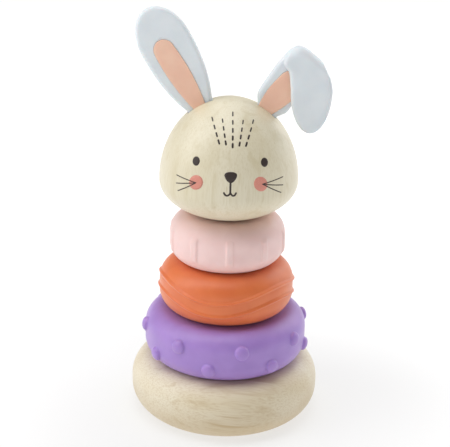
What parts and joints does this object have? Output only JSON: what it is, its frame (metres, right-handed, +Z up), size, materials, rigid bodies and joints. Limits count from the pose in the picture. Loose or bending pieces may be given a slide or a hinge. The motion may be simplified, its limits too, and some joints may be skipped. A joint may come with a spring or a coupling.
{
  "type": "stacking ring toy",
  "caption": "Toddler's stacking toy: round wooden base with a post, soft rings of falling size, and a wooden animal head with one upright and one folded ear on top.",
  "frame": {"origin": "centre of the base's flat underside", "axes": "+Z up along the post; the face looks along -Y; +X is to the right as the face is seen"},
  "size_m": [0.09, 0.09, 0.1919],
  "materials": {
    "base_wood": "fine-sanded pale maple, unlacquered",
    "head_wood": "pale maple under clear satin lacquer",
    "purple_silicone": "matte silicone",
    "orange_silicone": "matte silicone",
    "pink_silicone": "matte silicone",
    "ear_silicone": "matte silicone",
    "lining_silicone": "matte silicone",
    "screw_steel": "zinc plated",
    "dark_print": "printed ink",
    "blush_print": "printed ink"
  },
  "bodies": {
    "stand": {"base": "base_wood", "post": "base_wood", "base_screw": "screw_steel"},
    "purple": {"purple_ring": "purple_silicone"},
    "orange": {"orange_ring": "orange_silicone"},
    "pink": {"pink_ring": "pink_silicone"},
    "rabbit": {"head": "head_wood", "upright_ear": "ear_silicone", "upright_ear_lining": "lining_silicone", "folded_ear": "ear_silicone", "folded_ear_lining": "lining_silicone"}
  },
  "joints": [
    {"name": "purple_lift", "type": "slide", "parent": "stand", "child": "purple", "axis": [0, 0, 1], "range_m": [0, 0.105]},
    {"name": "orange_lift", "type": "slide", "parent": "purple", "child": "orange", "axis": [0, 0, 1], "range_m": [0, 0.08]},
    {"name": "pink_lift", "type": "slide", "parent": "orange", "child": "pink", "axis": [0, 0, 1], "range_m": [0, 0.056]},
    {"name": "head_lift", "type": "slide", "parent": "pink", "child": "rabbit", "axis": [0, 0, 1], "range_m": [0, 0.034]}
  ]
}
